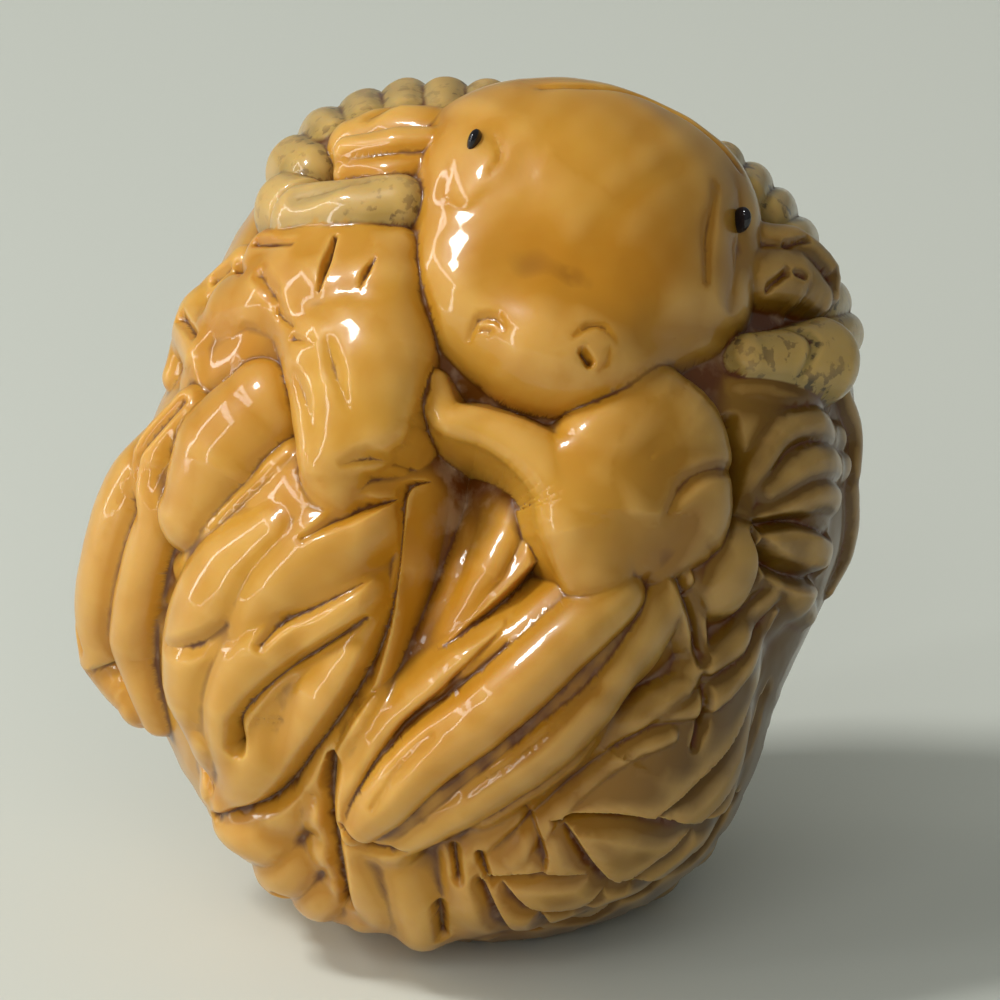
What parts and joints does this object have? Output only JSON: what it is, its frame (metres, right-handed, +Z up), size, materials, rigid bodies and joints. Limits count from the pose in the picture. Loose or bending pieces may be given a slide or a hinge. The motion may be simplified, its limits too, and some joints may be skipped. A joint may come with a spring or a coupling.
{
  "type": "netsuke",
  "caption": "Ball-shaped netsuke carved as a curled ram with ringed horns, folded knees and combed fleece, with inlaid dark eyes and cord holes at the back.",
  "frame": {"origin": "middle of the part's footprint, on the small flat that it rests on", "axes": "+Z up, the carved face looks along -Y and 20 degrees up, +X to the right of someone who looks at the face"},
  "size_m": [0.0394, 0.0386, 0.0439],
  "materials": {
    "nut": "polished amber-coloured palm nut with stained carving",
    "horn": "polished black horn"
  },
  "bodies": {
    "root": {"carved_ram": "nut", "left_eye": "horn", "right_eye": "horn"}
  },
  "joints": []
}
